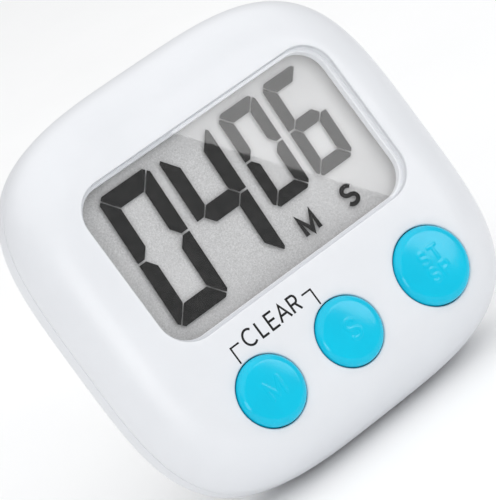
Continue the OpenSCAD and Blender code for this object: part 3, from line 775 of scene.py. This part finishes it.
cut(rear,
    prism(circle(0, MAGNET_W, MAGNET_R + MAGNET_FIT), CASE_T - MAGNET_DEPTH, CASE_T + PAST),
    prism(bay_plan, BAY_FLOOR, CASE_T + PAST),
    prism(rounded(0, BAY_C, DOOR_W, DOOR_H, DOOR_R, 8, 1), DOOR_V, CASE_T + PAST),
    rod_along_x(HINGE_V, HINGE_W, HINGE_HOLE_R, -POCKET_HALF - 1.4, POCKET_HALF + 1.4))
for side in (-1, 1):
    cut(rear,
        prism(circle(side * SCREW_X, SCREW_W, SCREW_HEAD_R, 48), SCREW_SEAT, CASE_T + PAST),
        prism(circle(side * SCREW_X, SCREW_W, SCREW_HOLE_R, 32), SPLIT, CASE_T))
for k, length in enumerate(SOUND_SLOTS):
    w = buzzer[2] + (k - len(SOUND_SLOTS) // 2) * SOUND_PITCH
    cut(rear, prism(slot_plan(buzzer[0], w, length, SOUND_SLOT_W), inner_v - PAST, CASE_T + PAST))
rear = settle(rear, "rear_case")
finish_piece(rear, "case", "shell", rear_mat, "rear_shell", smooth_flats=True)


# ---------------------------------------------------------------- battery door

RIB_HALF = 15.0
RIB_T = 0.7
RIB_DEPTH = 1.3
RIB_FIT = 0.1
GRIPS = 4
GRIP_X, GRIP_PITCH, GRIP_DEPTH = 18, 1.5, 0.3

door_plan = rounded(0, BAY_C, DOOR_W - 2 * DOOR_GAP, DOOR_H - 2 * DOOR_GAP, DOOR_R - DOOR_GAP, 8, 1)
door = solid(prism(door_plan, DOOR_V, CASE_T + 0.5), "battery_cover")
combine(door, solid(rear_outer()), "INTERSECT")
rib_w = BAY_H / 2 - RIB_FIT - RIB_T / 2
for side in (-1, 1):
    c = BAY_C + side * rib_w
    join(door, prism(box_plan(-RIB_HALF, RIB_HALF, c - RIB_T / 2, c + RIB_T / 2),
                     DOOR_V - RIB_DEPTH, DOOR_V + 0.3))
for k in range(GRIPS):
    cut(door, prism(rounded(GRIP_X - GRIP_PITCH * k, BAY_C, 0.6, 7, 0.28, 4, 1),
                    CASE_T - GRIP_DEPTH, CASE_T + PAST))
door = settle(door, "battery_cover")
finish_piece(door, "door", "shell", rear_mat, "battery_door", smooth_flats=True)


# ---------------------------------------------------------------- stand

STAND_OPEN = math.radians(37)
STAND_LEN = 33.0
STAND_W = 25.0
STAND_T = 1.6
STAND_IN = 0.8
HEEL = (1.7 - 0.03 - STAND_IN * math.cos(STAND_OPEN)) / math.sin(STAND_OPEN)
HOLE_DROP = 15.7
HOLE_R = 9.5
STAND_EDGE = 0.4
HUB_R, HUB_BORE_R = 1.4, 0.85
FOOT_R, FOOT_HALF = 1.2, 8.5


def stand_shape():
    """The plate in its own frame, hinge at the origin, before it is turned to its open angle."""
    s = Shape()
    edge = STAND_EDGE
    height = STAND_LEN + HEEL
    centre = HEEL - height / 2

    def plan(d):
        return rounded(0, centre, STAND_W - 2 * d, height - 2 * d, (0.7 - d, 0.7 - d, 4 - d, 4 - d))

    def hole(d):
        return circle(0, -HOLE_DROP, HOLE_R + d)

    steps = 5
    outer, inner = [], []
    for i in range(steps + 1):
        a = math.pi / 2 * i / steps
        outer.append(lift(plan(edge * (1 - math.sin(a))), -STAND_IN + edge * (1 - math.cos(a))))
        inner.append(lift(hole(edge * (1 - math.sin(a))), -STAND_IN + edge * (1 - math.cos(a))))
    for i in range(steps + 1):
        a = math.pi / 2 * i / steps
        v = STAND_T - STAND_IN - edge * (1 - math.sin(a))
        outer.append(lift(plan(edge * (1 - math.cos(a))), v))
        inner.append(lift(hole(edge * (1 - math.cos(a))), v))
    a, b = s.chain(*outer), s.chain(*inner)
    seeds = grid(2.0, 14, 36)
    for k in (0, -1):
        v = s.points[a[k][0]][1]
        s.fill(a[k], [b[k]], lambda p, v=v: np.full(len(p), v), seeds, 0.8)
    return s


def turn_stand(shape):
    c, q = math.cos(STAND_OPEN), math.sin(STAND_OPEN)
    shape.points = [(x, HINGE_V + y * c - z * q, HINGE_W + y * q + z * c) for x, y, z in shape.points]
    return shape


stand = solid(turn_stand(stand_shape()), "stand_plate")
join(stand, turn_stand(rod_along_x(0, 0, HUB_R, -STAND_W / 2, STAND_W / 2, 0.25)),
     turn_stand(rod_along_x(0, -STAND_LEN, FOOT_R, -FOOT_HALF, FOOT_HALF, 0.4)))
cut(stand, turn_stand(rod_along_x(0, 0, HUB_BORE_R, -STAND_W / 2 - PAST, STAND_W / 2 + PAST)))
stand = settle(stand, "stand_plate")
finish_piece(stand, "flap", "shell", rear_mat, "stand", smooth_flats=True)


# ---------------------------------------------------------------- lettering from strokes

def arc(cx, cy, rx, ry, a0, a1, count=14):
    a = np.radians(np.linspace(a0, a1, count))
    return [(cx + rx * math.cos(t), cy + ry * math.sin(t)) for t in a]


GLYPHS = {
    "C": [arc(0.52, 0.5, 0.5, 0.5, 48, 312, 26)],
    "L": [[(0.06, 1), (0.06, 0), (0.95, 0)]],
    "E": [[(0.95, 1), (0.06, 1), (0.06, 0), (0.98, 0)], [(0.06, 0.53), (0.88, 0.53)]],
    "A": [[(0.0, 0), (0.5, 1), (1.0, 0)], [(0.19, 0.36), (0.81, 0.36)]],
    "R": [[(0.06, 0), (0.06, 1), (0.6, 1)] + arc(0.62, 0.75, 0.33, 0.25, 80, -80, 12)
          + [(0.6, 0.5), (0.06, 0.5)], [(0.58, 0.5), (0.98, 0)]],
    "M": [[(0.06, 0), (0.06, 1), (0.5, 0.12), (0.94, 1), (0.94, 0)]],
    "S": [arc(0.5, 0.75, 0.44, 0.25, 28, 270, 20)[:-1] + arc(0.5, 0.25, 0.46, 0.25, 90, -152, 20)],
    "T": [[(0, 1), (1, 1)], [(0.5, 1), (0.5, 0)]],
    "P": [[(0.06, 0), (0.06, 1), (0.6, 1)] + arc(0.62, 0.74, 0.33, 0.26, 80, -80, 12)
          + [(0.6, 0.48), (0.06, 0.48)]],
}


def letter(glyph, cx, cw, width, height):
    return [np.array([(cx + (p[0] - 0.5) * width, cw + (p[1] - 0.5) * height) for p in line])
            for line in GLYPHS[glyph]]


def ribbon(shape, line, width, depth, thick):
    """One flat stroke along a line, lying at depth(points) and thick towards the back."""
    n = len(line)
    step = np.diff(line, axis=0)
    step /= np.linalg.norm(step, axis=1)[:, None]
    left, right = [], []
    for i in range(n):
        a, b = step[max(i - 1, 0)], step[min(i, n - 2)]
        t = (a + b) / max(np.linalg.norm(a + b), 1e-6)
        normal = np.array([-t[1], t[0]])
        reach = width / 2 / max(abs(float(normal @ np.array([-b[1], b[0]]))), 0.45)
        left.append(line[i] + normal * reach)
        right.append(line[i] - normal * reach)
    ring = np.array(left + right[::-1])
    v = depth(ring)
    top = shape.loop(lift(ring, v))
    low = shape.loop(lift(ring, v + thick))
    for i in range(n - 1):
        j = 2 * n - 1 - i
        shape.faces.append((top[i], top[i + 1], top[j - 1], top[j]))
        shape.faces.append((low[i], low[j], low[j - 1], low[i + 1]))
    shape.bridge(top, low)


PRINT = 0.012
LABEL_STROKE, BRACKET_STROKE = 0.34, 0.26
LABEL_H = 2.7
LABEL_W = -10.28
BRACKET_TOP, BRACKET_FOOT = -10.0, -12.55


def on_face(points):
    return front_depth(points) - PRINT


clear_label = Shape()
for glyph, x, width in (("C", -13.35, 2.4), ("L", -11.1, 1.6), ("E", -9.14, 1.8),
                        ("A", -7.06, 2.2), ("R", -4.88, 1.8)):
    for line in letter(glyph, x, LABEL_W, width - LABEL_STROKE, LABEL_H - LABEL_STROKE):
        ribbon(clear_label, line, LABEL_STROKE, on_face, PRINT + 0.01)
for near, far in ((-15.15, -16.7), (-3.2, -1.55)):
    line = np.array([(near, BRACKET_TOP), (far, BRACKET_TOP), (far, BRACKET_FOOT)])
    ribbon(clear_label, line, BRACKET_STROKE, on_face, PRINT + 0.01)
label = place("clear_label", clear_label.mesh("clear_label", 1e-7))
finish_piece(label, "case", "lcd_ink", ink_mat)

SEGMENT_V = span("lcd_segments")[0][1]


def on_lcd(points):
    return np.full(len(points), SEGMENT_V + 0.01)


lcd_letters = Shape()
for line in letter("M", 6.12, -2.5, 2.75, 2.7):
    ribbon(lcd_letters, line, 0.72, on_lcd, 0.06)
for line in letter("S", 14.1, -2.6, 2.05, 2.85):
    ribbon(lcd_letters, line, 0.66, on_lcd, 0.06)
letters = place("lcd_letters", lcd_letters.mesh("lcd_letters", 1e-7))
finish_piece(letters, "case", "lcd_ink", lcd_ink_mat)


# ---------------------------------------------------------------- buttons

RIM = 0.77
DOME = 0.28
ROLL = 1.15
EMBOSS = 0.05
EMBOSS_SLOPE = 0.18
FLANGE_V, FLANGE_BACK = 1.86, 2.65
PLUNGER_R, PLUNGER_V = 1.5, 3.3


def to_lines(points, lines):
    """Distance from each point to the nearest stroke."""
    best = np.full(len(points), 1e9)
    for line in lines:
        for a, b in zip(line, line[1:]):
            ab = b - a
            t = np.clip(((points - a) @ ab) / max(ab @ ab, 1e-9), 0, 1)
            best = np.minimum(best, np.linalg.norm(points - a - t[:, None] * ab, axis=1))
    return best


def button_shape(cx, cw, r, marks, stroke):
    """A domed cap with a rolled rim, a flange behind the shell and raised letters."""
    s = Shape()
    profile = [(0.0, -RIM - DOME)]
    edge = r - ROLL
    for i in range(1, 25):
        q = edge * i / 24
        profile.append((q, -RIM - DOME + DOME * (q / r) ** 2))
    slope = 2 * DOME * edge / r ** 2
    tilt = math.atan(slope)
    centre_v = profile[-1][1] + ROLL * math.cos(tilt)
    centre_r = r - ROLL
    for i in range(1, 17):
        a = tilt + (math.pi / 2 - tilt) * i / 16
        profile.append((centre_r + ROLL * (math.sin(a) - math.sin(tilt)) / (1 - math.sin(tilt)),
                        centre_v - ROLL * math.cos(a)))
    profile = np.array(profile)
    along = np.concatenate([[0], np.cumsum(np.linalg.norm(np.diff(profile, axis=0), axis=1))])
    along /= along[-1]
    count = 112
    u = np.linspace(-1, 1, count + 1)
    a, b = np.meshgrid(u, u, indexing="ij")
    big = np.maximum(np.abs(a), np.abs(b))
    wide = np.abs(a) >= np.abs(b)
    with np.errstate(divide="ignore", invalid="ignore"):
        turn = np.where(wide, math.pi / 4 * np.nan_to_num(b / a), math.pi / 2 - math.pi / 4
                        * np.nan_to_num(a / b))
    signed = np.where(wide, a, b)
    dx, dw = signed * np.cos(turn), signed * np.sin(turn)
    size = np.maximum(np.hypot(dx, dw), 1e-9)
    q = np.interp(big.ravel(), along, profile[:, 0])
    v = np.interp(big.ravel(), along, profile[:, 1])
    flat = np.stack([cx + (dx / size).ravel() * q, cw + (dw / size).ravel() * q], 1)
    near = to_lines(flat, marks)
    ramp = np.clip((stroke / 2 + EMBOSS_SLOPE / 2 - near) / EMBOSS_SLOPE, 0, 1)
    v = v - EMBOSS * ramp * ramp * (3 - 2 * ramp)
    grid_points = s.loop(lift(flat, v))

    def at(i, j):
        return grid_points[i * (count + 1) + j]

    for i in range(count):
        for j in range(count):
            s.faces.append((at(i, j), at(i + 1, j), at(i + 1, j + 1), at(i, j + 1)))
    rim = ([at(i, 0) for i in range(count)] + [at(count, j) for j in range(count)]
           + [at(i, count) for i in range(count, 0, -1)] + [at(0, j) for j in range(count, 0, -1)])
    plan = s.plan(rim) - (cx, cw)

    def ring(radius):
        return plan / np.linalg.norm(plan, axis=1)[:, None] * radius + (cx, cw)

    loops = s.chain(rim, lift(ring(r), FLANGE_V - 0.02), lift(ring(r + FLANGE), FLANGE_V),
                    lift(ring(r + FLANGE), FLANGE_BACK), lift(ring(PLUNGER_R), FLANGE_BACK),
                    lift(ring(PLUNGER_R), PLUNGER_V))
    s.cap(loops[-1])
    return s


def marks_for(name, cx, cw):
    if name == "button_m":
        return letter("M", cx + 0.1, cw, 2.7, 2.6), 0.5
    if name == "button_s":
        return letter("S", cx + 0.1, cw, 2.0, 2.9), 0.5
    rows = []
    for glyph, dx, dw in (("S", -1.05, 1.35), ("T", 1.1, 1.35),
                          ("S", -1.05, -1.35), ("P", 1.1, -1.35)):
        rows += letter(glyph, cx + dx, cw + dw, 1.35, 1.95)
    return rows, 0.42


for name, body in (("button_m", "m_key"), ("button_s", "s_key"), ("button_start", "start_key")):
    cx, cw, r = BUTTONS[name]
    marks, stroke = marks_for(name, cx, cw)
    cap = place("cap_" + name.split("_")[1], button_shape(cx, cw, r, marks, stroke).mesh(name), 50)
    finish_piece(cap, body, "button", button_mat, name)


# ---------------------------------------------------------------- window and display

def sheet_cap(plan, v0, v1, edge):
    """The front and rim of a clear sheet, open at the back."""
    s = Shape()
    rows = [lift(plan(edge), v0), lift(plan(edge * 0.3), v0 + edge * 0.3),
            lift(plan(0), v0 + edge), lift(plan(0), v1)]
    loops = s.chain(*rows)
    s.cap(loops[0])
    return s


def flat_sheet(name, shape, slot, mat, *nodes):
    """A clear sheet whose front faces outwards."""
    mesh = shape.mesh(name)
    obj = place(name, mesh, 20)
    for p in mesh.polygons:
        p.use_smooth = False
    big = max(mesh.polygons, key=lambda p: p.area)
    if big.normal.dot(-REAR) < 0:
        mesh.flip_normals()
    return finish_piece(obj, "case", slot, mat, *nodes)


def lens_plan(d):
    return rounded(0, WINDOW_C, WINDOW_W - 2 * LENS_GAP - 2 * d, WINDOW_H - 2 * LENS_GAP - 2 * d,
                   WINDOW_R - LENS_GAP - d)


flat_sheet("lens", sheet_cap(lens_plan, LENS_V0, LENS_V1, 0.1), "lens", lens_mat, "window_lens")


def node_plan(node, r):
    low, high = span(node)
    return lambda d: rounded((low[0] + high[0]) / 2, (low[2] + high[2]) / 2,
                             high[0] - low[0] - 2 * d, high[2] - low[2] - 2 * d, r - d, 4, 2)


for node, name in (("lcd_front_glass", "display_glass"), ("lcd_rear_glass", "display_back_glass")):
    low, high = span(node)
    flat_sheet(name, sheet_cap(node_plan(node, 0.6), low[1], high[1] - 0.01, 0.06), "lcd_glass",
               glass_mat, node)


# ---------------------------------------------------------------- refined CAD pieces

def refined(node, name, slot, mat, width=0.08, body="case", angle=40):
    """A CAD node's own form with welded seams and small round edges."""
    mesh = bpy.data.meshes.new(name)
    bm = bmesh.new()
    bm.from_mesh(NODES[node].data)
    bmesh.ops.remove_doubles(bm, verts=bm.verts, dist=1e-7)
    bm.to_mesh(mesh)
    bm.free()
    mesh.materials.clear()
    if "custom_normal" in mesh.attributes:
        mesh.attributes.remove(mesh.attributes["custom_normal"])
    obj = bpy.data.objects.new(name, mesh)
    bpy.context.scene.collection.objects.link(obj)
    mesh.shade_smooth()
    if width:
        m = obj.modifiers.new("edges", "BEVEL")
        m.width = width * MM
        m.segments = 2
        m.limit_method = "ANGLE"
        m.angle_limit = math.radians(angle)
        graph = bpy.context.evaluated_depsgraph_get()
        made = bpy.data.meshes.new_from_object(obj.evaluated_get(graph))
        obj.modifiers.clear()
        obj.data = made
        bpy.data.meshes.remove(mesh)
        mesh = made
    mesh.shade_smooth()
    mesh.set_sharp_from_angle(angle=math.radians(30))
    return finish_piece(obj, body, slot, mat, node, smooth_flats=True)


refined("lcd_segments", "display_digits", "lcd_ink", lcd_ink_mat, 0.0)
refined("lcd_reflector", "display_reflector", "lcd_reflector", reflector_mat(), 0.03)
refined("lcd_frame", "display_frame", "frame_plastic", frame_mat, 0.08)
refined("zebra_strip", "zebra", "zebra", zebra_mat, 0.08)
refined("circuit_board", "board", "board", board_mat(), 0.06)
refined("chip_blob", "chip", "epoxy", epoxy_mat, 0.0)
refined("crystal", "crystal_can", "steel", steel_mat, 0.12)
refined("capacitor", "capacitor_can", "capacitor", capacitor_mat, 0.15)
refined("key_pad", "rubber_pad", "key_pad", pad_mat, 0.12)
refined("board_screws", "small_screws", "steel", steel_mat, 0.06)
refined("buzzer_disc", "sounder", "brass", brass_mat, 0.04)
refined("buzzer_ceramic", "sounder_ceramic", "ceramic", ceramic_mat, 0.04)
refined("buzzer_contacts", "sounder_springs", "steel", steel_mat, 0.06)
refined("battery_cell", "cell_aaa", "cell", cell_mat(), 0.0)
refined("battery_plate", "contact_plate", "steel", steel_mat, 0.06)
refined("battery_leaf", "contact_leaf", "steel", steel_mat, 0.04)
refined("magnet", "magnet_disc", "magnet", magnet_mat(), 0.25)
refined("stand_pin", "hinge_pin", "steel", steel_mat, 0.1)
refined("case_screws", "back_screws", "steel", steel_mat, 0.08)


# ---------------------------------------------------------------- floor, light and camera

def sheet_object(name, corners, mat):
    mesh = bpy.data.meshes.new(name)
    mesh.from_pydata(corners, [], [(0, 1, 2, 3)])
    mesh.materials.append(mat)
    obj = bpy.data.objects.new(name, mesh)
    bpy.context.scene.collection.objects.link(obj)
    return obj


sheet_object("floor", [(-6, -6, 0), (6, -6, 0), (6, 6, 0), (-6, 6, 0)], floor_mat())


def softbox(name, centre, across, up_axis, width, height, radiance, world=False):
    """An area light; its axes are given in the case's frame, or in the world's."""
    data = bpy.data.lights.new(name, "AREA")
    data.shape = "RECTANGLE"
    data.size, data.size_y = width * MM, height * MM
    data.energy = radiance * math.pi * data.size * data.size_y
    obj = bpy.data.objects.new(name, data)
    turn = (lambda a: Vector(a)) if world else (lambda a: Vector(np.array(a, float) @ AXES))
    x = turn(across).normalized()
    z = x.cross(turn(up_axis)).normalized()
    y = z.cross(x)
    spot = Vector(centre) * MM if world else Vector(to_world([centre])[0])
    obj.matrix_world = Matrix.Translation(spot) @ Matrix((x, y, z)).transposed().to_4x4()
    bpy.context.scene.collection.objects.link(obj)
    return obj


# The key light's near edge is mirrored as the straight line across the window.
KEY_V = -400.0
edge_a, edge_b = np.array([185.3, 49.1]), np.array([235.1, -8.7])
along = (edge_b - edge_a) / np.linalg.norm(edge_b - edge_a)
across = np.array([-along[1], along[0]])
KEY_LONG, KEY_WIDE = 220.0, 120.0
key_centre = (edge_a + edge_b) / 2 + across * KEY_WIDE / 2
softbox("key", (key_centre[0], KEY_V, key_centre[1]), (along[0], 0, along[1]),
        (across[0], 0, across[1]), KEY_LONG, KEY_WIDE, 4.2)
softbox("left", (-312, -281, 0), (0.669, -0.743, 0), (0, 0, 1), 210, 150, 3.5)
softbox("top", (0, -60, 700), (1, 0, 0), (0, 1, 0), 1800, 1600, 0.88, world=True)

world = bpy.data.worlds.new("studio")
bpy.context.scene.world = world
world.use_nodes = True
back = world.node_tree.nodes["Background"]
back.inputs["Color"].default_value = (1.0, 1.0, 1.0, 1)
back.inputs["Strength"].default_value = 0.46

camera = bpy.data.cameras.new("camera")
camera.lens = 192.0
camera.sensor_width = 36.0
camera.clip_start, camera.clip_end = 0.01, 20.0
eye = bpy.data.objects.new("camera", camera)
bpy.context.scene.collection.objects.link(eye)
EYE = (-164.1, -335.8, -5.17)
LOOK_RIGHT = (0.7309, -0.3365, -0.5937)
LOOK_DOWN = (-0.5326, 0.2626, -0.8046)
right = Vector(np.array(LOOK_RIGHT) @ AXES).normalized()
down = Vector(np.array(LOOK_DOWN) @ AXES)
forward = right.cross(down).normalized()
down = forward.cross(right)
turn = Matrix((right, -down, -forward)).transposed().to_4x4()
eye.matrix_world = Matrix.Translation(Vector(to_world([EYE])[0])) @ turn
bpy.context.scene.camera = eye
bpy.context.scene.view_settings.view_transform = "Standard"
